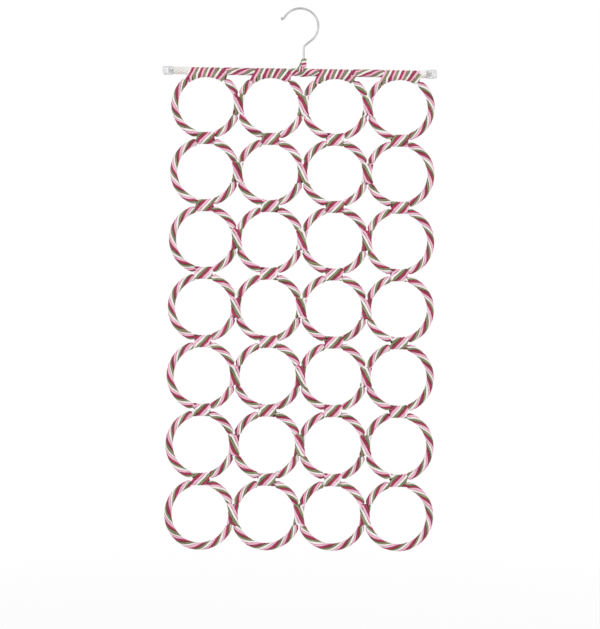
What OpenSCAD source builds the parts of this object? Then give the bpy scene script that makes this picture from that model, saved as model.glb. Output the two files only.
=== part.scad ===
// Scarf hanger: a wire hook, a rod and a curtain of cord-wrapped wire rings.
// The rings hang in the XZ plane, Z points up, and the front faces -Y.
// The origin is the point inside the hook where it rests on its rail.

/* [Rings] */
// Rings side by side in a row, an even count, so that the hook comes between two of them
columns = 4; // [2:2:4]
// Rows of rings, one below the other
rows = 7; // [2:1:7]
// Diameter of a ring along the middle of its wire
ring_d = 85.6; // [75:0.1:100]
// Thickness of the wire inside a ring
ring_wire_d = 3; // [2.4:0.1:3.6]
// Space between the wires of two rings side by side
side_gap = 0.1; // [0.1:0.05:0.5]
// Space between the wires of a ring and of the ring that hangs from it
row_gap = 4; // [3.6:0.1:6]

/* [Cord] */
// Thickness of the cord that is wound round the wires and the rod
cord_d = 3; // [2.6:0.1:3.1]
// Distance from one strand to the next where a ring is bound to the rod
strand_pitch = 4.4; // [4.4:0.1:5]
// Strands that are wound side by side
strands = 4; // [2:1:4]
// Times that each strand goes round the rod and a ring
winding_turns = 3.25; // [2.5:0.25:3.5]
// Length of the lashing that a lower ring turns in
row_lashing_l = 26; // [20:0.5:28]
// Times that the cord goes round the hook's stem
stem_turns = 3.5; // [2.5:0.5:4.5]
// Space between two turns round the stem
stem_turn_gap = 0.5; // [0.45:0.05:1]

/* [Rod] */
// Thickness of the rod
rod_d = 4.5; // [4:0.1:6]
// Plain wrap between the last winding and the left cap
left_wrap_l = 11.5; // [2:0.1:20]
// Plain wrap between the last winding and the right cap
right_wrap_l = 2; // [2:0.1:20]
// Length of an end cap
cap_l = 14; // [12:0.5:24]
// Thickness of an end cap
cap_d = 12.2; // [10:0.1:16]
// Rounding of an end cap's outer edge
cap_round = 3.5; // [1:0.1:4]
// Depth of the groove round an end cap
cap_groove = 0.8; // [0.4:0.1:1]
// Depth that the rod goes into a cap
cap_grip = 6; // [4:0.5:9]

/* [Hook] */
// Thickness of the hook's wire
hook_wire_d = 3; // [2.6:0.1:4]
// Inside diameter of the hook's loop
hook_loop_d = 46.8; // [40:0.1:60]
// Height of the hook's resting point above the middle of the rod
hook_h = 88; // [85:0.5:120]
// Distance that the loop's middle stands to the left of the stem
hook_shift = 5.2; // [0:0.1:8]
// Turn of the loop below its right side, before it runs straight to the stem
hook_back_angle = 50; // [40:1:60]
// Radius of the bend between the stem and the loop
stem_bend_r = 7; // [5:0.5:12]
// Turn of the loop beyond its right side, over the top, to the tip
hook_tip_angle = 150; // [130:1:165]
// Radius of the bend that turns the tip outwards
tip_bend_r = 5; // [4:0.5:8]
// Angle that the tip is turned outwards
tip_bend_angle = 50; // [30:1:70]
// Diameter of the ball on the tip
tip_ball_d = 4.4; // [4:0.1:6]
// Radius of the bend between the stem and the eye round the rod
eye_bend_r = 3; // [2:0.1:4]
// Turn of the eye round the rod
eye_turn = 300; // [280:1:305]

/* [Fits] */
// Clearance between a wire and what turns round it
turn_gap = 0.35; // [0.3:0.05:0.5]
// Clearance between pieces that lie against each other
seat_gap = 0.1; // [0.05:0.05:0.2]

/* [Hidden] */
$fn = 48;

// What a thin stretch of wire is thinner by, and how far it reaches into its neighbours
hair = 0.02;
lap = 0.1;
lap_angle = 1;
// How far a cut runs past what it cuts
past = 1;
past_angle = 2;
// A lashing's flat sides stand this share of the wrap's radius from its middle
web_share = 0.92;
// Facets round the whole circle that a lashing's flare is a short piece of
flare_facets = 360;
// Corners that a swept strand has round it
strand_sides = 6;
// Steps that a strand makes round each half of a loop
half_steps = 5;
loop_points = 2 * half_steps + 2;
// A strand moves along the rod by this share less steeply where it passes under the wire
wire_advance = 0.6;
// Steps of one turn round the stem
stem_steps = 12;

ring_r = ring_d / 2;
ring_wire_r = ring_wire_d / 2;
wrap_r = ring_wire_r + cord_d;
rod_r = rod_d / 2;
rod_wrap_r = rod_r + cord_d;
hook_wire_r = hook_wire_d / 2;

// Distances between the middles of neighbouring wires and of neighbouring rings
side_reach = ring_wire_d + side_gap;
row_reach = ring_wire_d + row_gap;
pitch_x = ring_d + side_reach;
pitch_z = ring_d + row_reach;

rod_z = -hook_h;
rod_to_wire = rod_r + ring_wire_r + seat_gap;

// A row's lashing ends where the wraps of two neighbours part
side_angle = acos((ring_r + side_reach / 2 - seat_gap) / (ring_r + wrap_r));
// A lower ring's wrap starts clear of the lashing that it turns in
row_angle = asin((row_lashing_l / 2 + turn_gap) / (ring_r - wrap_r));

strand_r = cord_d / 2;
lead = strands * strand_pitch;
winding_l = winding_turns * lead;
// The strands run on from the winding to the wraps beside it
winding_run = 2 * cord_d;
winding_reach = winding_l / 2 + winding_run;
winding_angle = asin(winding_l / 2 / ring_r) + winding_run / ring_r * 180 / PI;
// A strand cuts its corners, so its points stand off the wire a little more than it does
corner_share = cos(90 / half_steps);
rod_loop_r = (rod_r + strand_r) / corner_share;
wire_loop_r = (ring_wire_r + strand_r) / corner_share;

outer_ring_x = (columns - 1) / 2 * pitch_x;
right_cap_x = outer_ring_x + winding_reach + right_wrap_l;
left_cap_x = -(outer_ring_x + winding_reach + left_wrap_l);

// The hook's eye, and the bend from the stem into it
eye_r = rod_r + turn_gap + hook_wire_r;
eye_bend_z = sqrt((eye_r + eye_bend_r) ^ 2 - eye_bend_r ^ 2);
eye_bend_angle = atan2(eye_bend_z, eye_bend_r);
hook_loop_r = (hook_loop_d + hook_wire_d) / 2;
stem_foot_z = rod_z + rod_wrap_r + strand_r + 2 * turn_gap;

crimson = "#b5305f";
pink = "#eda3bd";
cream = "#f3efe4";
olive = "#7d8a45";
strand_colours = [crimson, cream, olive, pink];

ring_names = [for (r = [1:rows]) for (c = [1:columns]) str("ring_wrap_", r, "_", c)];
row_names = [for (r = [1:rows]) each [str("ring_wires_", r), str("side_lashings_", r)]];

function ring_x(column) = (column - (columns + 1) / 2) * pitch_x;
function ring_z(row) = rod_z - rod_to_wire - ring_r - (row - 1) * pitch_z;
function polar(r, angle) = [r * cos(angle), r * sin(angle)];
function unit(v) = v / norm(v);

// Distance that a ring's wire has bent away from its tangent, at a distance along it
function sag(along) = ring_r - sqrt(ring_r ^ 2 - along ^ 2);

module at_ring(row, column) {
    translate([ring_x(column), 0, ring_z(row)])
        children();
}

// Part of a ring of round tube in the XZ plane, between two angles from +X towards +Z
module tube_arc(from, to, middle_r, outer_r, inner_r = 0) {
    rotate([90, 0, 0])
        rotate([0, 0, from])
            rotate_extrude(angle = to - from)
                translate([middle_r, 0])
                    difference() {
                        circle(outer_r);
                        if (inner_r > 0)
                            circle(inner_r);
                    }
}

module full_ring(middle_r, outer_r) {
    rotate([90, 0, 0])
        rotate_extrude()
            translate([middle_r, 0])
                circle(outer_r);
}

module along_x(from, to, r) {
    translate([from, 0, 0])
        rotate([0, 90, 0])
            cylinder(r = r, h = to - from);
}

// Rings

module ring_wires(row) {
    color("silver")
        for (c = [1:columns])
            at_ring(row, c)
                full_ring(ring_r, ring_wire_r);
}

// Each joint of a ring, as its angle and the half angle that its binding takes up
function ring_joints(row, column) = [
    if (column < columns) [0, side_angle],
    [90, row == 1 ? winding_angle : row_angle],
    if (column > 1) [180, side_angle],
    if (row < rows) [270, row_angle]
];

// The cord round one ring's wire, in the stretches between its joints
module ring_wrap(row, column) {
    joints = ring_joints(row, column);
    color(pink)
        at_ring(row, column)
            for (i = [0:len(joints) - 1]) {
                here = joints[i];
                next = i + 1 < len(joints) ? joints[i + 1] : joints[0] + [360, 0];
                tube_arc(here[0] + here[1], next[0] - next[1], ring_r, wrap_r, ring_wire_r + seat_gap);
            }
}

// The cord that binds each ring to its neighbour in the row
module side_lashings(row) {
    color(crimson)
        for (c = [1:columns - 1])
            translate([ring_x(c) + pitch_x / 2, 0, ring_z(row)])
                side_lashing();
}

module side_lashing() {
    web_h = (ring_r - wrap_r) * sin(side_angle);
    web_w = side_reach / 2 + sag(web_h) / 2;
    difference() {
        union() {
            side_arcs(side_angle, wrap_r);
            cube([2 * web_w, 2 * web_share * wrap_r, 2 * web_h], center = true);
        }
        side_arcs(side_angle + past_angle, ring_wire_r + seat_gap);
    }
}

// The near sides of two neighbouring rings, seen from the point between them
module side_arcs(half_angle, r) {
    translate([-pitch_x / 2, 0, 0])
        tube_arc(-half_angle, half_angle, ring_r, r);
    translate([pitch_x / 2, 0, 0])
        tube_arc(180 - half_angle, 180 + half_angle, ring_r, r);
}

// The cord that hangs each ring of the next row from the ring above it
module row_lashings(row) {
    color(olive)
        for (c = [1:columns])
            translate([ring_x(c), 0, ring_z(row + 1) + ring_r])
                row_lashing();
}

// It holds the upper wire and opens as a trumpet to both sides, where the lower wire turns in it
module row_lashing() {
    half_l = row_lashing_l / 2;
    web_h = row_reach + sag(half_l) / 2;
    difference() {
        union() {
            upper_arc(row_angle, wrap_r);
            along_x(-half_l, half_l, wrap_r);
            translate([-half_l, -web_share * wrap_r, 0])
                cube([2 * half_l, 2 * web_share * wrap_r, web_h]);
        }
        upper_arc(row_angle + past_angle, ring_wire_r + seat_gap);
        trumpet_bore(half_l + past);
    }
}

module upper_arc(half_angle, r) {
    translate([0, 0, row_reach + ring_r])
        tube_arc(270 - half_angle, 270 + half_angle, ring_r, r);
}

module trumpet_bore(half_l) {
    throat_r = ring_wire_r + turn_gap;
    rotate([0, 90, 0])
        rotate_extrude()
            difference() {
                translate([0, -half_l])
                    square([throat_r + sag(half_l), 2 * half_l]);
                translate([throat_r + ring_r, 0])
                    circle(ring_r, $fn = flare_facets);
            }
}

// Strands that bind a ring to the rod

// Share of the advance along the rod that a strand has made at each point of its loop
function loop_share(point) =
    let (rod_step = 2 * rod_loop_r * sin(90 / half_steps))
    let (wire_step = wire_advance * 2 * wire_loop_r * sin(90 / half_steps))
    let (length = half_steps * (rod_step + wire_step) + 2 * rod_to_wire)
    let (gone = point <= half_steps
        ? point * rod_step
        : half_steps * rod_step + rod_to_wire + (point - half_steps - 1) * wire_step)
    gone / length;

function strand_x(step, strand) =
    let (turns = floor(step / loop_points) + loop_share(step % loop_points))
    lead * (turns - strand / strands) - winding_l / 2;

// A loop starts at the front. Points 0 to half_steps go over the rod to the back, and the
// rest go under the wire to the front again, so the strands rise to the right at the front.
function over_rod(point) = point <= half_steps;
function loop_angle(point) = (over_rod(point) ? point : point - 1) * 180 / half_steps;

// Direction away from the ring's middle where its wire passes x
function wire_outward(x) = [x / ring_r, 0, sqrt(1 - (x / ring_r) ^ 2)];

// Direction out of the bundle, square to the rod above and to the wire below
function outward(point, x) =
    let (angle = loop_angle(point))
    let (up = over_rod(point) ? [0, 0, 1] : wire_outward(x))
    [0, -cos(angle), 0] + sin(angle) * up;

// Middle of a strand at x, at one distance from the rod's middle or another from the wire's
function strand_point(point, x, rod_distance, wire_distance) = over_rod(point)
    ? [x, 0, 0] + rod_distance * outward(point, x)
    : [x, 0, -rod_to_wire - sag(x)] + wire_distance * outward(point, x);

// Where a strand meets the wrap beside the winding, on the left for side -1 and on the right for 1
function run_x(point, side) = side * (over_rod(point) ? winding_reach : ring_r * sin(winding_angle));
function run_direction(point, side) = over_rod(point)
    ? [side, 0, 0]
    : [side * cos(winding_angle), 0, -sin(winding_angle)];

function run_points(point, side) =
    let (off = seat_gap + strand_r)
    let (end = strand_point(point, run_x(point, side), rod_r + off, ring_wire_r + off))
    let (before = end - cord_d * run_direction(point, side))
    side < 0 ? [end, before] : [before, end];

// Each strand starts at another side of the bundle
function strand_steps(strand) =
    let (first = round(strand * loop_points / strands))
    [for (step = [first:first + winding_turns * loop_points]) step];

function strand_path(strand) =
    let (steps = strand_steps(strand))
    let (first = steps[0] % loop_points)
    let (last = steps[len(steps) - 1] % loop_points)
    concat(
        run_points(first, -1),
        [
            for (step = steps)
                strand_point(step % loop_points, strand_x(step, strand), rod_loop_r, wire_loop_r)
        ],
        run_points(last, 1)
    );

function strand_normals(strand) =
    let (steps = strand_steps(strand))
    let (first = steps[0] % loop_points)
    let (last = steps[len(steps) - 1] % loop_points)
    let (start = outward(first, run_x(first, -1)))
    let (end = outward(last, run_x(last, 1)))
    concat(
        [start, start],
        [for (step = steps) outward(step % loop_points, strand_x(step, strand))],
        [end, end]
    );

// A closed tube along a path, with a ring of corners at each point
module swept_strand(path, normals) {
    last = len(path) - 1;
    corners = [
        for (i = [0:last])
            let (along = unit(path[min(i + 1, last)] - path[max(i - 1, 0)]))
            let (out = unit(normals[i] - (normals[i] * along) * along))
            let (across = cross(along, out))
            for (s = [0:strand_sides - 1])
                path[i] + strand_r * (cos(360 * s / strand_sides) * out
                    + sin(360 * s / strand_sides) * across)
    ];
    sides = [
        for (i = [0:last - 1])
            for (s = [0:strand_sides - 1])
                let (a = i * strand_sides + s)
                let (b = i * strand_sides + (s + 1) % strand_sides)
                each [[a, a + strand_sides, b + strand_sides], [a, b + strand_sides, b]]
    ];
    top = last * strand_sides;
    ends = [
        for (s = [1:strand_sides - 2])
            each [[0, s, s + 1], [top, top + s + 1, top + s]]
    ];
    polyhedron(points = corners, faces = concat(sides, ends));
}

function segment_distance(p, a, b) =
    let (along = (p - a) * (b - a) / ((b - a) * (b - a)))
    norm(p - a - max(0, min(1, along)) * (b - a));

// Least distance between the surfaces of tubes, leaving out near stretches of the same tube
function least_gap(paths, near) = min([
    for (m = [0:len(paths) - 1])
        for (n = [0:len(paths) - 1])
            for (i = [0:len(paths[m]) - 1])
                for (j = [0:len(paths[n]) - 2])
                    if (m != n || i < j - near || i > j + 1 + near)
                        segment_distance(paths[m][i], paths[n][j], paths[n][j + 1])
]) - cord_d;

module bar_winding(column) {
    paths = [for (strand = [0:strands - 1]) strand_path(strand)];
    echo(winding_least_gap = least_gap(paths, loop_points / 2));
    translate([ring_x(column), 0, rod_z])
        for (strand = [0:strands - 1])
            color(strand_colours[strand])
                swept_strand(paths[strand], strand_normals(strand));
}

// The rod and what is on it

module rod() {
    color("silver")
        translate([0, 0, rod_z])
            along_x(left_cap_x - cap_grip, right_cap_x + cap_grip, rod_r);
}

// The plain stretches of wrap, each from one end to the other along the rod
function bar_stretches() =
    let (eye_x = hook_wire_r + turn_gap)
    let (starts = [left_cap_x, for (c = [1:columns]) ring_x(c) + winding_reach])
    let (stops = [for (c = [1:columns]) ring_x(c) - winding_reach, right_cap_x])
    [
        for (i = [0:columns])
            let (crosses_eye = starts[i] < -eye_x && stops[i] > eye_x)
            each crosses_eye
                ? [[starts[i], -eye_x], [eye_x, stops[i]]]
                : [[starts[i], stops[i]]]
    ];

module bar_wraps() {
    color(pink)
        translate([0, 0, rod_z])
            difference() {
                for (stretch = bar_stretches())
                    along_x(stretch[0], stretch[1], rod_wrap_r);
                along_x(left_cap_x - past, right_cap_x + past, rod_r + seat_gap);
            }
}

// A translucent cap with a domed outer end and a groove round it
module cap() {
    outer_r = cap_d / 2;
    color("whitesmoke", 0.6)
        rotate([0, 90, 0])
            difference() {
                rotate_extrude() {
                    square([outer_r - cap_round, cap_l]);
                    square([outer_r, cap_l - cap_round]);
                    translate([outer_r - cap_round, cap_l - cap_round])
                        intersection() {
                            circle(cap_round);
                            square(cap_round);
                        }
                }
                translate([0, 0, -past])
                    cylinder(r = rod_r + seat_gap, h = past + cap_grip + seat_gap);
                translate([0, 0, cap_grip / 2])
                    rotate_extrude()
                        translate([outer_r, 0])
                            circle(cap_groove);
            }
}

module right_cap() {
    translate([right_cap_x + seat_gap, 0, rod_z])
        cap();
}

module left_cap() {
    translate([left_cap_x - seat_gap, 0, rod_z])
        mirror([1, 0, 0])
            cap();
}

// Hook

// From the tip over the top to the stem, and down to an eye that the rod turns in.
// Every second stretch is a hair thinner and ends just inside its neighbours.
module hook() {
    middle = [-hook_shift, hook_wire_r - hook_loop_r];
    back = middle + polar(hook_loop_r, -hook_back_angle);
    tip_middle = middle + polar(hook_loop_r + tip_bend_r, hook_tip_angle);
    tip_angle = hook_tip_angle + 180;
    tip = tip_middle + polar(tip_bend_r, tip_angle - tip_bend_angle);
    straight_l = (back.x - stem_bend_r * (1 - cos(hook_back_angle))) / sin(hook_back_angle);
    bend_z = back.y - straight_l * cos(hook_back_angle) - stem_bend_r * sin(hook_back_angle);
    thin_r = hook_wire_r - hair;
    color("silver") {
        translate([middle.x, 0, middle.y])
            tube_arc(-hook_back_angle, hook_tip_angle, hook_loop_r, hook_wire_r);
        translate([tip_middle.x, 0, tip_middle.y])
            tube_arc(tip_angle - tip_bend_angle, tip_angle + lap_angle, tip_bend_r, thin_r);
        translate([tip.x, 0, tip.y])
            sphere(d = tip_ball_d);
        translate([back.x, 0, back.y])
            rotate([0, 180 + hook_back_angle, 0])
                translate([0, 0, -lap])
                    cylinder(r = thin_r, h = straight_l + 2 * lap);
        translate([stem_bend_r, 0, bend_z])
            tube_arc(180 - hook_back_angle, 180, stem_bend_r, hook_wire_r);
        translate([0, 0, rod_z + eye_bend_z - lap])
            cylinder(r = thin_r, h = bend_z - rod_z - eye_bend_z + 2 * lap);
        translate([0, 0, rod_z])
            rotate([0, 0, 90])
                hook_eye();
    }
}

// The stem's foot bends aside and goes round the rod, and its end stops short of the stem
module hook_eye() {
    translate([eye_bend_r, 0, eye_bend_z])
        tube_arc(180, 180 + eye_bend_angle, eye_bend_r, hook_wire_r);
    tube_arc(eye_bend_angle - eye_turn, eye_bend_angle + lap_angle, eye_r, hook_wire_r - hair);
}

// The cord that is wound round the hook's stem just above the rod, wider at its foot
module stem_binding() {
    pitch = cord_d + stem_turn_gap;
    top_r = (hook_wire_r + seat_gap + strand_r) / cos(180 / stem_steps);
    foot_r = top_r + strand_r;
    turns = [for (i = [0:stem_turns * stem_steps]) i / stem_steps];
    loops = [
        for (t = turns)
            let (r = foot_r + (top_r - foot_r) * t / stem_turns)
            [r * cos(360 * t), r * sin(360 * t), stem_foot_z + pitch * t]
    ];
    last = len(loops) - 1;
    foot_end = loops[0] - cord_d * unit(loops[1] - loops[0]);
    top_end = loops[last] + cord_d * unit(loops[last] - loops[last - 1]);
    path = concat([foot_end], loops, [top_end]);
    normals = [for (p = path) unit([p.x, p.y, 0])];
    echo(binding_least_gap = least_gap([path], stem_steps / 2));
    color(olive)
        swept_strand(path, normals);
}

hook();
stem_binding();
rod();
left_cap();
right_cap();
bar_wraps();
for (c = [1:columns])
    bar_winding(c);
for (r = [1:rows])
    ring_wires(r);
for (r = [1:rows])
    side_lashings(r);
for (r = [1:rows - 1])
    row_lashings(r);
for (r = [1:rows])
    for (c = [1:columns])
        ring_wrap(r, c);
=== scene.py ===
"""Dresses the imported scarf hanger: wound cord, plated wire and clear caps, in a plain white scene."""

import math

import bpy
import numpy as np
from mathutils import Matrix, Vector

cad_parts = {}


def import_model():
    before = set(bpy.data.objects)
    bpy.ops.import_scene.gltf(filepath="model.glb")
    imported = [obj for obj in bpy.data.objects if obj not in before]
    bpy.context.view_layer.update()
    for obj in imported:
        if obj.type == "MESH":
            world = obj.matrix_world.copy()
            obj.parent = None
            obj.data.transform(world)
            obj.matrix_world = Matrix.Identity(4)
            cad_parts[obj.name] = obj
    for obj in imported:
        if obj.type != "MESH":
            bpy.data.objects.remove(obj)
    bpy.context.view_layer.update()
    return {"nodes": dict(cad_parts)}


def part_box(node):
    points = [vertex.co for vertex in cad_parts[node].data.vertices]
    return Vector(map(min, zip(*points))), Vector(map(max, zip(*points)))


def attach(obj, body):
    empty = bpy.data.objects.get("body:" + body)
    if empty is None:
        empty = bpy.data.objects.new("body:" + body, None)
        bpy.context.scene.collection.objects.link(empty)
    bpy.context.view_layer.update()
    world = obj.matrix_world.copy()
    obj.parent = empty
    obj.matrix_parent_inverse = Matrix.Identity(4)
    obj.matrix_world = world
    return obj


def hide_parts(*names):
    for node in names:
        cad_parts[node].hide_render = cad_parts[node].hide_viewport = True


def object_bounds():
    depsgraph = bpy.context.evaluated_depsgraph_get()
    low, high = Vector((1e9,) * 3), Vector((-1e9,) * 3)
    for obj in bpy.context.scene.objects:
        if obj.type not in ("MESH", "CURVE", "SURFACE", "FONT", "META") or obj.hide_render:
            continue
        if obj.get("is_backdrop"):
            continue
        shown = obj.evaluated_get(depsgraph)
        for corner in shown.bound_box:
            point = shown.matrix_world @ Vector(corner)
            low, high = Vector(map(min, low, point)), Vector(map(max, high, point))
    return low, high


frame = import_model()
rng = np.random.default_rng(7)

# Lengths are in metres, and angles in radians
MM = 0.001
TURN = 2 * math.pi
FRONT = np.array([0.0, -1.0, 0.0])
RIGHT = np.array([1.0, 0.0, 0.0])
UP = np.array([0.0, 0.0, 1.0])

# The curtain, as the part's source has it
COLUMNS = 4
ROWS = 7
RING_R = 42.8 * MM
WIRE_R = 1.5 * MM
ROD_R = 2.25 * MM
HOOK_R = 1.5 * MM
SEAT_GAP = 0.1 * MM
ROD_Z = -88 * MM
# From the middle of one wire to the next: side by side, one below the other, and below the rod
SIDE_REACH = 3.1 * MM
ROW_REACH = 7.0 * MM
ROD_TO_WIRE = ROD_R + WIRE_R + SEAT_GAP
PITCH_X = 2 * RING_R + SIDE_REACH
PITCH_Z = 2 * RING_R + ROW_REACH

# Material slots of the cord's colours, and their order clockwise round a ring, along the rod's
# plain wrap, and from strand to strand in the bindings and in the windings on the rod
CRIMSON, PINK, CREAM, OLIVE = range(4)
RING_ORDER = (CRIMSON, PINK, CREAM, OLIVE)
BAR_ORDER = (CRIMSON, PINK, OLIVE, CREAM)
BAR_END_ORDER = (CREAM,)
BINDING_ORDER = (CRIMSON, OLIVE, CREAM, PINK)
WINDING_ORDER = (CRIMSON, CREAM, OLIVE, PINK)

# A strand of cord, and its sides in the mesh
CORD_W = 3.3 * MM
CORD_T = 2.5 * MM
STRAND_SIDES = 10
SHARP_ANGLE = math.radians(60)
STRAND_UV = "strand"
# The pattern along a strand starts at a random place, up to this many millimetres on
PATTERN_SPAN = 200

# The wrap of a wire or rod: eight strands side by side, in which each colour comes twice. Then its
# radius on a ring and on the rod, the turns of a strand round a ring, and its steps in the mesh.
STRANDS = 8
WRAP_R = 4.9 * MM
BAR_WRAP_R = 5.2 * MM
RING_TURNS = 5.5
RING_STEPS = 176
BAR_STEP_L = 1.2 * MM
# It is drawn in under a binding. The valleys between its strands have the first depth there, and
# deepen by the second on a ring and by the third on the rod.
UNDER_R = WIRE_R + 0.4 * MM
UNDER_VALLEY = 0.25 * MM
RING_VALLEY = 0.95 * MM
BAR_VALLEY = 0.65 * MM
# How far a ring's wrap is on its way out to its full size where a binding ends
OUT_AT_BINDING = 0.85
# How uneven it is: how far a strand stands out, how far the border of two strands strays, as a
# share of a strand, and how far a ring's strands turn ahead
BUMP = 0.12 * MM
STRAY = 0.15
STRAY_WAVES = 7
TWIST_STRAY = 0.18
# Steps in which this fades out at the two ends of a wrap, so that it closes round a ring
SEAM_STEPS = 6

# The bindings of two wires: half their length, and the length in which a strand goes round once
SIDE_HALF_L = 17 * MM
SIDE_LEAD = 60 * MM
ROW_HALF_L = 14.5 * MM
ROW_LEAD = 36 * MM
# The windings on the rod: half their length, from strand to strand, and how far a turn leans over
WINDING_HALF_L = 29 * MM
WINDING_PITCH = 3.4 * MM
WINDING_LEAN = 0.5
STEPS_PER_TURN = 36
SPARE_STEPS = 10
# The last stretch of a strand in which it is drawn round a wire, and the one in which it thins out
# to a share of its size and goes down into the wire's wrap
DRAW_L = 6 * MM
TUCK_L = 4.5 * MM
TUCK_DEPTH = 1.8 * MM
END_SIZE = 0.35
# How much flatter the turns lie towards the two ends of a binding
EASE = 0.12
# Random spread of the lead, of a strand's place along the binding and of its half width
LEAD_SPREAD = 0.04
PLACE_SPREAD = 0.15 * MM
WIDTH_SPREAD = 0.08 * MM

# The rod's plain wrap, which is fuller over the hook's eye
BAR_LEAD = 54 * MM
BAR_LEAD_AT_HOOK = 36 * MM
EYE_HALF_W = 5 * MM
EYE_WRAP_R = 6.1 * MM
# A winding leans over, so on the rod it reaches further to the right than to the left
WINDING_RIGHT = WINDING_HALF_L - 3 * MM
WINDING_LEFT = WINDING_HALF_L - 7 * MM
# Lengths in which the wrap swells beside a winding, over the eye and beside a cap, and how far it
# is on its way out to its full size at the cap
SWELL_L = 1.6 * MM
EYE_SWELL_L = 2 * MM
CAP_SWELL_L = 0.9 * MM
OUT_AT_CAP = 0.55

# Each cord round the hook's stem: its slot, its height above the lowest, and how far to the left
# of the stem it leaves the rod
STEM_CORDS = (
    (PINK, 0.0, 1.6 * MM),
    (CRIMSON, 2.8 * MM, 3.9 * MM),
    (CREAM, 5.5 * MM, 6.2 * MM),
    (OLIVE, 8.4 * MM, 8.5 * MM),
)
STEM_TURNS = 0.9
STEM_RISE = 4.2 * MM
STEM_STEPS = 60
STEM_FOOT = 1.0 * MM
# Share of a loop in which it thins out, and of the run from the rod in which it thickens, with
# the sizes that it has at its two ends
STEM_END = 0.25
STEM_END_SIZE = 0.3
RUN_START_SIZE = 0.4
RUN_STEPS = 16
# The run starts inside the rod's wrap, in front of the rod's middle and below it. It comes out of
# the wrap in the first of this many parts of its way, and then lies on it.
RUN_START_FRONT = 4.0 * MM
RUN_START_BELOW = 0.5 * MM
RUN_START_SUNK = 2.9 * MM
RUN_PARTS = 3
RUN_HEIGHT = 0.9 * MM


def ring_x(column):
    return (column - (COLUMNS + 1) / 2) * PITCH_X


def ring_z(row):
    return ROD_Z - ROD_TO_WIRE - RING_R - (row - 1) * PITCH_Z


def body_of(row):
    return "bar" if row == 1 else f"row_{row}"


def sag(along):
    """Distance that a ring's wire has bent away from its tangent, at a distance along it."""
    return RING_R - np.sqrt(RING_R**2 - along**2)


def smooth(x):
    x = np.clip(x, 0, 1)
    return x * x * (3 - 2 * x)


def grown(way, length, at_start=0.5):
    """A smooth change from 0 to 1 over a length, which is at the given share of it at way 0."""
    return smooth(way / length + at_start)


def unit(v):
    return v / np.linalg.norm(v, axis=-1, keepdims=True)


def wander(count, size, waves=4):
    """A slow random change along something closed, of about the given size."""
    t = np.linspace(0, TURN, count, endpoint=False)
    out = np.zeros(count)
    for k in range(1, waves + 1):
        out += rng.normal() * np.cos(k * t + rng.uniform(0, TURN)) / waves**0.5
    return size * out


# Materials

def node_material(name):
    material = bpy.data.materials.new(name)
    material.use_nodes = True
    tree = material.node_tree
    return material, tree, tree.nodes["Principled BSDF"]


def add(tree, kind, inputs=None, **settings):
    node = tree.nodes.new(kind)
    for key, value in settings.items():
        setattr(node, key, value)
    for key, value in (inputs or {}).items():
        if isinstance(value, bpy.types.NodeSocket):
            tree.links.new(value, node.inputs[key])
        else:
            node.inputs[key].default_value = value
    return node


def maths(tree, operation, *values):
    return add(tree, "ShaderNodeMath", dict(enumerate(values)), operation=operation).outputs[0]


def map_range(tree, value, to_min, to_max, from_min=0.0, from_max=1.0):
    inputs = {"Value": value, "From Min": from_min, "From Max": from_max, "To Min": to_min, "To Max": to_max}
    return add(tree, "ShaderNodeMapRange", inputs).outputs["Result"]


def noise(tree, vector, scale, detail):
    inputs = {"Vector": vector, "Scale": scale, "Detail": detail}
    return add(tree, "ShaderNodeTexNoise", inputs).outputs["Fac"]


def object_place(tree):
    return add(tree, "ShaderNodeTexCoord").outputs["Object"]


def ramp(tree, source, stops):
    node = add(tree, "ShaderNodeValToRGB", {"Fac": source})
    elements = node.color_ramp.elements
    while len(elements) < len(stops):
        elements.new(stops[-1][0])
    for element, (place, colour) in zip(elements, stops):
        element.position = place
        element.color = (*colour, 1)
    return node.outputs["Color"]


def set_surface(tree, shader, colour, height, strength, distance):
    """Sets a surface's colour, and its bumps by their height, strength and distance."""
    tree.links.new(colour, shader.inputs["Base Color"])
    bump = add(tree, "ShaderNodeBump", {"Height": height, "Strength": strength, "Distance": distance})
    tree.links.new(bump.outputs["Normal"], shader.inputs["Normal"])


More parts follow.
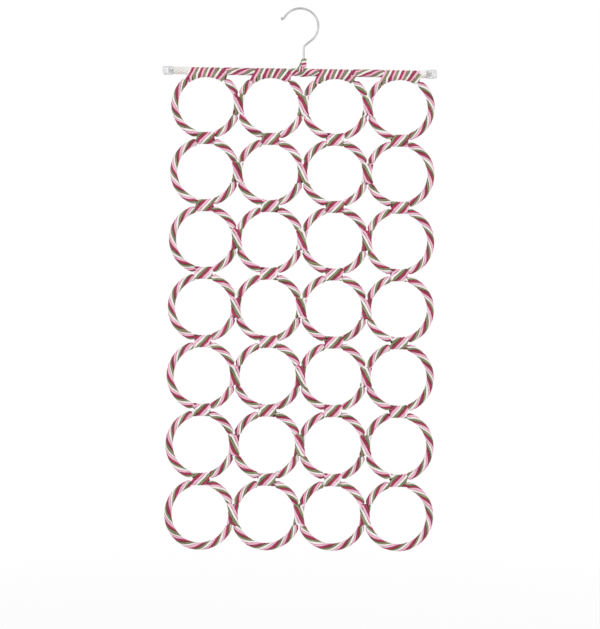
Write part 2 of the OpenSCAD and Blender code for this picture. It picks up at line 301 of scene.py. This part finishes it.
def cord_material(name, deep, main, pale):
    """A glossy twisted cord: slanting plies along the strand, fine fibres and a slow change of tone, with
    painted shade between strands and in the grooves of the plies, and painted light on their crests.
    """
    plies_per_mm = 0.55
    plies_round = 2.0
    fibre_share = 0.55
    tone_share = 0.45
    ply_shade_share = 0.06
    ply_height = 0.5
    material, tree, shader = node_material(name)
    uv = add(tree, "ShaderNodeUVMap", uv_map=STRAND_UV).outputs["UV"]
    split = add(tree, "ShaderNodeSeparateXYZ", {"Vector": uv})
    along, around = split.outputs["X"], split.outputs["Y"]

    # Plies: bands that go round the strand as they go along it
    lay = maths(tree, "MULTIPLY", along, plies_per_mm)
    turned = maths(tree, "MULTIPLY_ADD", around, plies_round, lay)
    plies = maths(tree, "SINE", maths(tree, "MULTIPLY", turned, TURN))

    # Fibres: noise drawn out along the strand
    stretch = add(tree, "ShaderNodeMapping", {"Vector": uv, "Scale": (0.5, 14.0, 1.0)}).outputs["Vector"]
    fibres = noise(tree, stretch, scale=1.6, detail=4.0)
    tone = noise(tree, object_place(tree), scale=55.0, detail=2.0)

    # Painted light and shade across a strand: v is 0.5 on a strand's crest, 0.25 and 0.75 on its two sides.
    # The colour is painted a little lighter on the crest and darker towards the sides, where strands meet
    # and shade each other.
    painted_crest_light = 0.06
    painted_side_shade = -0.22
    side = maths(tree, "COSINE", maths(tree, "MULTIPLY", around, TURN))
    edge = map_range(tree, side, painted_crest_light, painted_side_shade, from_min=-0.8, from_max=0.0)

    mixed = maths(tree, "MULTIPLY_ADD", fibres, fibre_share, edge)
    mixed = maths(tree, "MULTIPLY_ADD", tone, tone_share, mixed)
    # The plies shade the colour too: painted shade in their grooves and painted light on their tops,
    # following their bumps.
    mixed = maths(tree, "MULTIPLY_ADD", plies, ply_shade_share, mixed)
    colour = ramp(tree, mixed, ((0.3, deep), (0.5, main), (0.72, pale)))
    height = maths(tree, "MULTIPLY_ADD", plies, ply_height, fibres)
    set_surface(tree, shader, colour, height, strength=0.35, distance=0.25 * MM)
    shader.inputs["Roughness"].default_value = 0.5
    shader.inputs["Specular IOR Level"].default_value = 0.35
    shader.inputs["Sheen Weight"].default_value = 0.15
    return material


def wire_material(name, colour, dark, roughness, scratches):
    """Plated or drawn wire with fine marks, slightly uneven roughness and a base colour that is darker in
    random patches.
    """
    roughness_spread = 0.15
    material, tree, shader = node_material(name)
    place = object_place(tree)
    marks = noise(tree, place, scale=900.0, detail=5.0)
    clouds = noise(tree, place, scale=60.0, detail=2.0)
    patchy_colour = ramp(tree, clouds, ((0.35, dark), (0.65, colour)))
    set_surface(tree, shader, patchy_colour, marks, strength=scratches, distance=0.05 * MM)
    rough = map_range(tree, marks, roughness, roughness + roughness_spread)
    tree.links.new(rough, shader.inputs["Roughness"])
    shader.inputs["Metallic"].default_value = 1.0
    return material


def cap_material():
    """Clear plastic gone slightly cloudy, with flow marks from moulding, and a grey tint that is painted
    shade for the dark that clear plastic refracts.
    """
    material, tree, shader = node_material("clear_cap")
    cloud = noise(tree, object_place(tree), scale=160.0, detail=3.0)
    # Painted shade: the grey of these colours stands in for the dark that the clear cap refracts from its
    # surroundings.
    colour = ramp(tree, cloud, ((0.35, (0.76, 0.77, 0.78)), (0.65, (0.92, 0.92, 0.92))))
    set_surface(tree, shader, colour, cloud, strength=0.03, distance=0.2 * MM)
    rough = map_range(tree, cloud, to_min=0.25, to_max=0.4)
    tree.links.new(rough, shader.inputs["Roughness"])
    shader.inputs["Transmission Weight"].default_value = 0.5
    shader.inputs["IOR"].default_value = 1.45
    return material


# In the order of the slots
CORD_MATERIALS = (
    cord_material("cord_crimson", (0.12, 0.004, 0.02), (0.36, 0.014, 0.07), (0.52, 0.04, 0.13)),
    cord_material("cord_pink", (0.60, 0.20, 0.33), (0.92, 0.46, 0.62), (1.0, 0.66, 0.78)),
    cord_material("cord_cream", (0.75, 0.70, 0.66), (0.95, 0.93, 0.90), (1.0, 0.99, 0.97)),
    cord_material("cord_olive", (0.055, 0.06, 0.022), (0.205, 0.22, 0.09), (0.35, 0.365, 0.185)),
)
CHROME = wire_material("chrome_wire", (0.53, 0.53, 0.54), (0.38, 0.38, 0.39), roughness=0.18, scratches=0.05)
STEEL = wire_material("steel_wire", (0.42, 0.42, 0.43), (0.25, 0.25, 0.26), roughness=0.32, scratches=0.3)
CAP = cap_material()


def dress_node(name, material):
    mesh = frame["nodes"][name].data
    mesh.materials.clear()
    mesh.materials.append(material)
    mesh.polygons.foreach_set("material_index", np.zeros(len(mesh.polygons), np.int32))


# Mesh building

class Cords:
    """Collects the strands of one piece and makes a single mesh of them."""

    def __init__(self):
        self.points = []
        self.faces = []
        self.uvs = []
        self.slots = []
        self.count = 0

    def grid(self, rows, u, v_left, v_right, slots, closed_shift=None):
        """Adds a tube of rows of points. u runs along it, and v across each strip of faces.

        With closed_shift its last row joins the first one, that many points on."""
        n, m = rows.shape[:2]
        index = self.count + np.arange(n * m).reshape(n, m)
        self.points.append(rows.reshape(-1, 3))
        self.count += n * m
        if closed_shift is not None:
            index = np.vstack([index, np.roll(index[0], -closed_shift)])
            u = np.append(u, 2 * u[-1] - u[-2])
        here, beside = index[:-1], np.roll(index[:-1], -1, axis=1)
        after, corner = index[1:], np.roll(index[1:], -1, axis=1)
        quads = np.stack([here, beside, corner, after], axis=-1)
        self.faces.extend(quads.reshape(-1, 4).tolist())
        u0 = np.repeat(u[:-1, None], m, axis=1)
        u1 = np.repeat(u[1:, None], m, axis=1)
        vl = np.repeat(v_left[None, :], len(u) - 1, axis=0)
        vr = np.repeat(v_right[None, :], len(u) - 1, axis=0)
        corners = np.stack([u0, vl, u0, vr, u1, vr, u1, vl], axis=-1)
        self.uvs.append(corners.reshape(-1, 2))
        self.slots.append(np.repeat(np.asarray(slots)[None, :], len(u) - 1, axis=0).ravel())
        if closed_shift is None:
            for ring, step in ((index[0], -1), (index[-1], 1)):
                self.faces.append(ring[::step].tolist())
                self.uvs.append(np.tile([[u[0], 0.0]], (m, 1)))
                self.slots.append(np.array([slots[0]]))

    def strand(self, path, out, slot, half_w, half_t):
        """Adds one flattened cord along a path. half_w and half_t may change along it."""
        along = unit(np.gradient(path, axis=0))
        out = unit(out - np.sum(out * along, axis=1, keepdims=True) * along)
        across = np.cross(along, out)
        angle = np.arange(STRAND_SIDES) * TURN / STRAND_SIDES
        half_w = np.broadcast_to(half_w, len(path))[:, None, None]
        half_t = np.broadcast_to(half_t, len(path))[:, None, None]
        rows = (
            path[:, None, :]
            + half_t * np.cos(angle)[None, :, None] * out[:, None, :]
            + half_w * np.sin(angle)[None, :, None] * across[:, None, :]
        )
        step = np.linalg.norm(np.diff(path, axis=0), axis=1)
        u = np.concatenate([[0], np.cumsum(step)]) / MM + rng.uniform(0, PATTERN_SPAN)
        v = 0.5 + np.arange(STRAND_SIDES) / STRAND_SIDES
        self.grid(rows, u, v, v + 1 / STRAND_SIDES, np.full(STRAND_SIDES, slot))

    def make(self, name):
        mesh = bpy.data.meshes.new(name)
        mesh.from_pydata(np.concatenate(self.points).tolist(), [], self.faces)
        layer = mesh.uv_layers.new(name=STRAND_UV)
        layer.data.foreach_set("uv", np.concatenate(self.uvs).astype(np.float32).ravel())
        for material in CORD_MATERIALS:
            mesh.materials.append(material)
        mesh.polygons.foreach_set("material_index", np.concatenate(self.slots).astype(np.int32))
        mesh.polygons.foreach_set("use_smooth", np.ones(len(mesh.polygons), bool))
        mesh.set_sharp_from_angle(angle=SHARP_ANGLE)
        mesh.update()
        piece = bpy.data.objects.new(name, mesh)
        bpy.context.scene.collection.objects.link(piece)
        return piece


# Cord round a single wire or rod

# Steps across one strand, and how much of its height it loses towards its borders
PER_LOBE = 6
LOBE_FALL = 0.96
# Place of each point round a wrap, in strands, and its share of a strand's height
ACROSS = np.arange(STRANDS * PER_LOBE) / PER_LOBE
LOBE_HEIGHT = np.sqrt(1 - LOBE_FALL * (2 * (ACROSS % 1) - 1) ** 2)


def wrap_rows(centres, out, side, twist, radius, depth):
    """Rows of points of eight strands wound round a line. out and side span its cross-section."""
    n = len(centres)
    inside = smooth(np.minimum(np.arange(n), n - np.arange(n)) / SEAM_STEPS)
    bumps = np.array([wander(n, BUMP) * inside for _ in range(STRANDS)]).T
    uneven = np.repeat(bumps, PER_LOBE, axis=1)
    r = radius[:, None] - depth[:, None] * (1 - LOBE_HEIGHT) + uneven * LOBE_HEIGHT
    # The border between two strands strays to one side or the other
    borders = np.array([wander(n, STRAY, STRAY_WAVES) * inside for _ in range(STRANDS)]).T
    here = np.repeat(borders, PER_LOBE, axis=1)
    beyond = np.repeat(np.roll(borders, -1, axis=1), PER_LOBE, axis=1)
    strayed = ACROSS + here + (beyond - here) * (ACROSS % 1)
    turn = TURN / STRANDS * strayed + twist[:, None]
    return (
        centres[:, None, :]
        + (r * np.cos(turn))[:, :, None] * out[:, None, :]
        + (r * np.sin(turn))[:, :, None] * side[:, None, :]
    )


def wrap_strip(order):
    """v on the two sides of each strip of faces, 0.25 to 0.75 across a strand, and the slots."""
    v_left = 0.25 + (ACROSS % 1) / 2
    v_right = v_left + 0.5 / PER_LOBE
    slots = np.tile(np.repeat(order, PER_LOBE), STRANDS // len(order))
    return v_left, v_right, slots


def ring_joints(row, column):
    """Each joint of a ring, as its angle and the half angle that its binding takes up."""
    side = math.asin(SIDE_HALF_L / RING_R)
    level = math.asin(ROW_HALF_L / RING_R)
    bound = math.asin(WINDING_HALF_L / RING_R)
    joints = [(math.pi / 2, bound if row == 1 else level)]
    if column < COLUMNS:
        joints.append((0.0, side))
    if column > 1:
        joints.append((math.pi, side))
    if row < ROWS:
        joints.append((1.5 * math.pi, level))
    return joints


def ring_cord(row, column):
    """The cord round one ring. It draws in to the wire where a binding goes over it."""
    angle = np.linspace(0, TURN, RING_STEPS, endpoint=False)
    free = np.ones(RING_STEPS)
    for middle, half in ring_joints(row, column):
        away = np.abs((angle - middle + math.pi) % TURN - math.pi)
        free = np.minimum(free, grown((away - half) * RING_R, DRAW_L, OUT_AT_BINDING))
    radius = UNDER_R + (WRAP_R - UNDER_R) * free
    depth = UNDER_VALLEY + RING_VALLEY * free
    out = np.cos(angle)[:, None] * RIGHT + np.sin(angle)[:, None] * UP
    centres = np.array([ring_x(column), 0, ring_z(row)]) + RING_R * out
    start = rng.uniform(0, TURN)
    twist = start + RING_TURNS * angle + wander(RING_STEPS, TWIST_STRAY)
    rows = wrap_rows(centres, out, np.broadcast_to(FRONT, out.shape), twist, radius, depth)
    cords = Cords()
    # The wrap ends half a turn on from where it starts
    half_way = rows.shape[1] // 2
    cords.grid(rows, angle * RING_R / MM, *wrap_strip(RING_ORDER), closed_shift=half_way)
    ring = cords.make(f"ring_cord_{row}_{column}")
    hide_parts(f"ring_wrap_{row}_{column}")
    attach(ring, body_of(row))


# Cord round two wires at once

def bundle_point(share, low_r, high_r, gap):
    """Point of a loop round two circles, by its share of the loop's length from the front's middle.

    Returns how far it is to the front, how far up the line from the lower middle to the upper
    one, and its own way out on that line, which is below zero round the lower circle."""
    over, under = math.pi * high_r, math.pi * low_r
    length = 2 * gap + over + under
    s = (share * length + gap / 2) % length
    up, down = s / gap, (s - gap - over) / gap
    high_angle = (s - gap) / high_r
    low_angle = math.pi + (s - 2 * gap - over) / low_r
    zero = np.zeros_like(s)
    parts = [s < gap, s < gap + over, s < 2 * gap + over]
    rising = low_r + (high_r - low_r) * up
    falling = -high_r - (low_r - high_r) * down
    depth = np.select(parts, [rising, high_r * np.cos(high_angle), falling], low_r * np.cos(low_angle))
    line = np.select(parts, [up, zero + 1, 1 - down], zero)
    rise = np.select(parts, [zero, high_r * np.sin(high_angle), zero], low_r * np.sin(low_angle))
    return depth, line, rise


def ring_wire(pair, axis, sign, reach):
    """A ring's near side in a joint: its middle, its way out of the joint and its strands' radius."""
    def at(t):
        place = sign * (reach + sag(t))[:, None] * pair
        way = (sign * (RING_R - sag(t))[:, None] * pair - t[:, None] * axis) / RING_R
        return place, way, WRAP_R - CORD_T / 2
    return at


def hinge_wire(pair, axis, reach):
    """The upper side of a ring that folds.

    The strands round it leave room for the wire to turn to the front or back."""
    def at(t):
        place = np.broadcast_to(-reach * pair, (len(t), 3))
        _, way, snug = ring_wire(pair, axis, -1, reach)(t)
        return place, way, np.maximum(snug, sag(t) + UNDER_R + CORD_T / 2)
    return at


def rod_line(t):
    return np.zeros((len(t), 3)), np.broadcast_to(UP, (len(t), 3)), BAR_WRAP_R - CORD_T / 2


def bound_strands(cords, middle, axis, low, high, half_l, lead, order, lean=0.0):
    """Strands that wind round two lines beside each other, along the axis through middle.

    low and high give, at a distance along the axis, each line's middle, its way out of the pair
    and the radius at which a strand's middle goes round it. Lean is how far a turn leans over, as
    a share of the ring's distance from its tangent there."""
    half_turn = 0.5
    steps = int(STEPS_PER_TURN * 2 * half_l / lead) + SPARE_STEPS
    phase = rng.uniform()
    strands = len(order)
    lead = lead * (1 + LEAD_SPREAD * rng.normal())
    for k, slot in enumerate(order):
        t = np.linspace(-half_l, half_l, steps) + rng.normal() * PLACE_SPREAD
        ending = smooth((half_l - np.abs(t)) / TUCK_L)
        tuck = TUCK_DEPTH * (1 - ending)
        t_low, t_high = t - lean * sag(t) / 2, t + lean * sag(t) / 2
        low_middle, low_way, low_r = low(t_low)
        high_middle, high_way, high_r = high(t_high)
        gap = np.linalg.norm(high_middle - low_middle, axis=1)
        # The turns lie at a flatter slant towards the ends
        share = t / lead * (1 - EASE * (t / half_l) ** 2) + k / strands + phase
        # Near its two ends a strand is drawn round to the far side of the nearer line
        far_side = (gap + math.pi * high_r) / (4 * gap + TURN * (low_r + high_r))
        for end in (0, -1):
            to_go = (far_side[end] - share[end] + half_turn / 2) % half_turn - half_turn / 2
            share = share + to_go * smooth((DRAW_L - np.abs(t - t[end])) / DRAW_L)
        depth, line, rise = bundle_point(share, low_r - tuck, high_r - tuck, gap)
        on_line = low_middle + (high_middle - low_middle) * line[:, None]
        way = np.where((rise < 0)[:, None], low_way, high_way)
        out = depth[:, None] * FRONT + np.abs(rise)[:, None] * way
        size = END_SIZE + (1 - END_SIZE) * ending
        half_w = (CORD_W / 2 + wander(steps, WIDTH_SPREAD)) * size
        along = t_low + (t_high - t_low) * line
        path = middle + along[:, None] * axis + on_line + out
        cords.strand(path, out, slot, half_w, CORD_T / 2 * size)


def side_binding(row):
    """Long strands that hold the rings of a row side by side."""
    cords = Cords()
    low = ring_wire(RIGHT, -UP, -1, SIDE_REACH / 2)
    high = ring_wire(RIGHT, -UP, 1, SIDE_REACH / 2)
    for column in range(1, COLUMNS):
        middle = np.array([ring_x(column) + PITCH_X / 2, 0, ring_z(row)])
        bound_strands(cords, middle, -UP, low, high, SIDE_HALF_L, SIDE_LEAD, 2 * BINDING_ORDER)
    piece = cords.make(f"side_binding_{row}")
    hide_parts(f"side_lashings_{row}")
    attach(piece, body_of(row))


def row_binding(row):
    """Slanting strands from which the rings of the next row hang."""
    cords = Cords()
    low = hinge_wire(UP, RIGHT, ROW_REACH / 2)
    high = ring_wire(UP, RIGHT, 1, ROW_REACH / 2)
    for column in range(1, COLUMNS + 1):
        middle = np.array([ring_x(column), 0, ring_z(row) - PITCH_Z / 2])
        bound_strands(cords, middle, RIGHT, low, high, ROW_HALF_L, ROW_LEAD, 2 * BINDING_ORDER)
    piece = cords.make(f"row_binding_{row}")
    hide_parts(f"row_lashings_{row}")
    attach(piece, body_of(row))


def bar_winding(column):
    """The four strands that bind a ring of the top row to the rod, turn beside turn."""
    cords = Cords()
    low = ring_wire(UP, RIGHT, -1, ROD_TO_WIRE)
    middle = np.array([ring_x(column), 0, ROD_Z])
    lead = len(WINDING_ORDER) * WINDING_PITCH
    bound_strands(cords, middle, RIGHT, low, rod_line, WINDING_HALF_L, lead, WINDING_ORDER, WINDING_LEAN)
    piece = cords.make(f"winding_{column}")
    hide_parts(f"bar_winding_{column}")
    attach(piece, "bar")


# The rod's plain wrap and the hook's stem

def bar_cord():
    """Plain cord along the rod, drawn in under the windings and fuller over the hook's eye."""
    cords = Cords()
    low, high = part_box("bar_wraps")
    middles = [ring_x(c) for c in range(1, COLUMNS + 1)]
    edges = [low.x] + middles + [high.x]
    drawn_in_r = BAR_WRAP_R - CORD_T
    for place, (start, end) in enumerate(zip(edges, edges[1:])):
        x = np.linspace(start, end, int((end - start) / BAR_STEP_L))
        free = np.ones_like(x)
        for middle in middles:
            away = np.maximum(x - middle - WINDING_RIGHT, middle - WINDING_LEFT - x)
            free = np.minimum(free, grown(away, SWELL_L))
        free = free * grown(np.minimum(x - low.x, high.x - x), CAP_SWELL_L, OUT_AT_CAP)
        over_eye = grown(EYE_HALF_W - np.abs(x), EYE_SWELL_L)
        full = BAR_WRAP_R + (EYE_WRAP_R - BAR_WRAP_R) * over_eye
        radius = drawn_in_r + (full - drawn_in_r) * free
        lead = BAR_LEAD_AT_HOOK if place == COLUMNS // 2 else BAR_LEAD
        order = BAR_END_ORDER if place in (0, COLUMNS) else BAR_ORDER
        centres = x[:, None] * RIGHT + ROD_Z * UP
        out = np.broadcast_to(UP, centres.shape)
        side = np.broadcast_to(FRONT, centres.shape)
        twist = rng.uniform(0, TURN) - TURN * x / lead
        rows = wrap_rows(centres, out, side, twist, radius, UNDER_VALLEY + BAR_VALLEY * free)
        cords.grid(rows, x / MM, *wrap_strip(order))
    piece = cords.make("bar_cord")
    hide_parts("bar_wraps")
    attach(piece, "bar")


def stem_cord():
    """Cords that go up from the rod, round the foot of the hook's stem from the front."""
    cords = Cords()
    rod = ROD_Z * UP
    foot = ROD_Z + EYE_WRAP_R + STEM_FOOT
    t = np.linspace(0, 1, STEM_STEPS)[:, None]
    angle = math.pi + TURN * STEM_TURNS * t
    thinned = STEM_END_SIZE + (1 - STEM_END_SIZE) * smooth((1 - t) / STEM_END)
    loop_r = HOOK_R + CORD_T / 2 * thinned
    round_stem = loop_r * (np.cos(angle) * RIGHT - np.sin(angle) * FRONT)
    run = np.linspace(0, 1, RUN_STEPS)[:-1, None]
    thickened = RUN_START_SIZE + (1 - RUN_START_SIZE) * smooth(run / STEM_END)
    size = np.vstack([thickened, thinned])[:, 0]
    sunk = RUN_START_SUNK * (1 - smooth(RUN_PARTS * run))
    for slot, height, reach in STEM_CORDS:
        loop = round_stem + (foot + height + STEM_RISE * t) * UP
        start = -reach * RIGHT + RUN_START_FRONT * FRONT - RUN_START_BELOW * UP
        from_rod = start + (loop[0] - rod - start) * smooth(run)
        away = np.linalg.norm(from_rod[:, 1:], axis=1, keepdims=True)
        clear = np.maximum(1, (EYE_WRAP_R + RUN_HEIGHT - sunk) / away)
        from_rod = from_rod * np.hstack([np.ones_like(clear), clear, clear]) + rod
        path = np.vstack([from_rod, loop])
        out = np.vstack([from_rod - rod, loop * (RIGHT - FRONT)])
        cords.strand(path, out, slot, CORD_W / 2 * size, CORD_T / 2 * size)
    piece = cords.make("stem_cord")
    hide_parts("stem_binding")
    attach(piece, "hook")


# Setting

WHITE = (1.0, 1.0, 1.0, 1.0)
WORLD_LIGHT = 0.62
LIGHT_SIZE = 2.2
LIGHT_TARGET = Vector((0, 0, -0.4))


def seen_directly(tree):
    """One for what the camera sees, also in a mirror or through glass, and none for other light."""
    path = add(tree, "ShaderNodeLightPath").outputs
    seen = maths(tree, "MAXIMUM", path["Is Camera Ray"], path["Is Glossy Ray"])
    return maths(tree, "MAXIMUM", seen, path["Is Transmission Ray"])


def world():
    scene = bpy.context.scene
    scene.world = bpy.data.worlds.new("studio")
    scene.world.use_nodes = True
    tree = scene.world.node_tree
    tree.nodes.clear()
    lit = add(tree, "ShaderNodeBackground", {"Color": WHITE, "Strength": WORLD_LIGHT})
    white = add(tree, "ShaderNodeBackground", {"Color": WHITE, "Strength": 1.0})
    mix = add(tree, "ShaderNodeMixShader", {0: seen_directly(tree), 1: lit.outputs[0], 2: white.outputs[0]})
    add(tree, "ShaderNodeOutputWorld", {"Surface": mix.outputs[0]})


def floor():
    """A pale floor below the hanger that goes over into the white ground towards its edge."""
    radius = 3.0
    drop = 0.45
    # The white ground's share grows from this one to the whole between two distances
    least_white = 0.75
    fade_from = 0.3
    fade_to = 0.8 * radius
    low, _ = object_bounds()
    bpy.ops.mesh.primitive_circle_add(vertices=96, radius=radius, fill_type="NGON",
                                      location=(0, 0, low.z - drop))
    obj = bpy.context.object
    obj.name = "floor"
    material, tree, shader = node_material("floor_white")
    place = object_place(tree)
    cloud = noise(tree, place, scale=3.0, detail=2.0)
    colour = ramp(tree, cloud, ((0.3, (0.90, 0.90, 0.90)), (0.7, (0.93, 0.93, 0.93))))
    tree.links.new(colour, shader.inputs["Base Color"])
    shader.inputs["Roughness"].default_value = 0.8
    away = add(tree, "ShaderNodeVectorMath", {0: place}, operation="LENGTH").outputs["Value"]
    fade = map_range(tree, away, least_white, 1.0, from_min=fade_from, from_max=fade_to)
    amount = maths(tree, "MULTIPLY", seen_directly(tree), fade)
    white = add(tree, "ShaderNodeEmission", {"Color": WHITE, "Strength": 1.0})
    mix = add(tree, "ShaderNodeMixShader", {0: amount, 1: shader.outputs[0], 2: white.outputs[0]})
    tree.links.new(mix.outputs[0], tree.nodes["Material Output"].inputs["Surface"])
    obj.data.materials.append(material)
    obj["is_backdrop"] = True


def area_light(name, place, power):
    data = bpy.data.lights.new(name, "AREA")
    data.size = LIGHT_SIZE
    data.energy = power
    obj = bpy.data.objects.new(name, data)
    bpy.context.scene.collection.objects.link(obj)
    obj.location = place
    obj.rotation_euler = (LIGHT_TARGET - Vector(place)).to_track_quat("-Z", "Y").to_euler()


def camera():
    """The photograph's view: slightly from below and the left, with the hanger tilted a little."""
    image_w = 600
    focal_px = 958
    distance = 1.3
    elevation = math.radians(-2.83)
    azimuth = math.radians(-0.88)
    roll = math.radians(0.6)
    target = Vector((-0.0015, 0, -0.4211))
    on_floor = math.cos(elevation)
    away = Vector((math.sin(azimuth) * on_floor, -math.cos(azimuth) * on_floor, math.sin(elevation)))
    data = bpy.data.cameras.new("camera")
    data.sensor_fit = "HORIZONTAL"
    data.sensor_width = 36.0
    data.lens = focal_px / image_w * data.sensor_width
    obj = bpy.data.objects.new("camera", data)
    bpy.context.scene.collection.objects.link(obj)
    level = (-away).to_track_quat("-Z", "Y").to_matrix().to_4x4()
    obj.matrix_world = Matrix.Translation(target + distance * away) @ level @ Matrix.Rotation(roll, 4, "Z")
    bpy.context.scene.camera = obj


camera()
dress_node("hook", CHROME)
dress_node("rod", STEEL)
dress_node("left_cap", CAP)
dress_node("right_cap", CAP)
for row in range(1, ROWS + 1):
    dress_node(f"ring_wires_{row}", STEEL)
    side_binding(row)
    if row < ROWS:
        row_binding(row)
    for column in range(1, COLUMNS + 1):
        ring_cord(row, column)
for column in range(1, COLUMNS + 1):
    bar_winding(column)
bar_cord()
stem_cord()

bpy.context.scene.view_settings.view_transform = "Standard"
world()
floor()
area_light("key", (-1.0, -1.6, 0.7), power=14)
area_light("fill", (1.3, -1.3, 0.0), power=8)
area_light("back", (0.3, 1.6, 0.6), power=10)
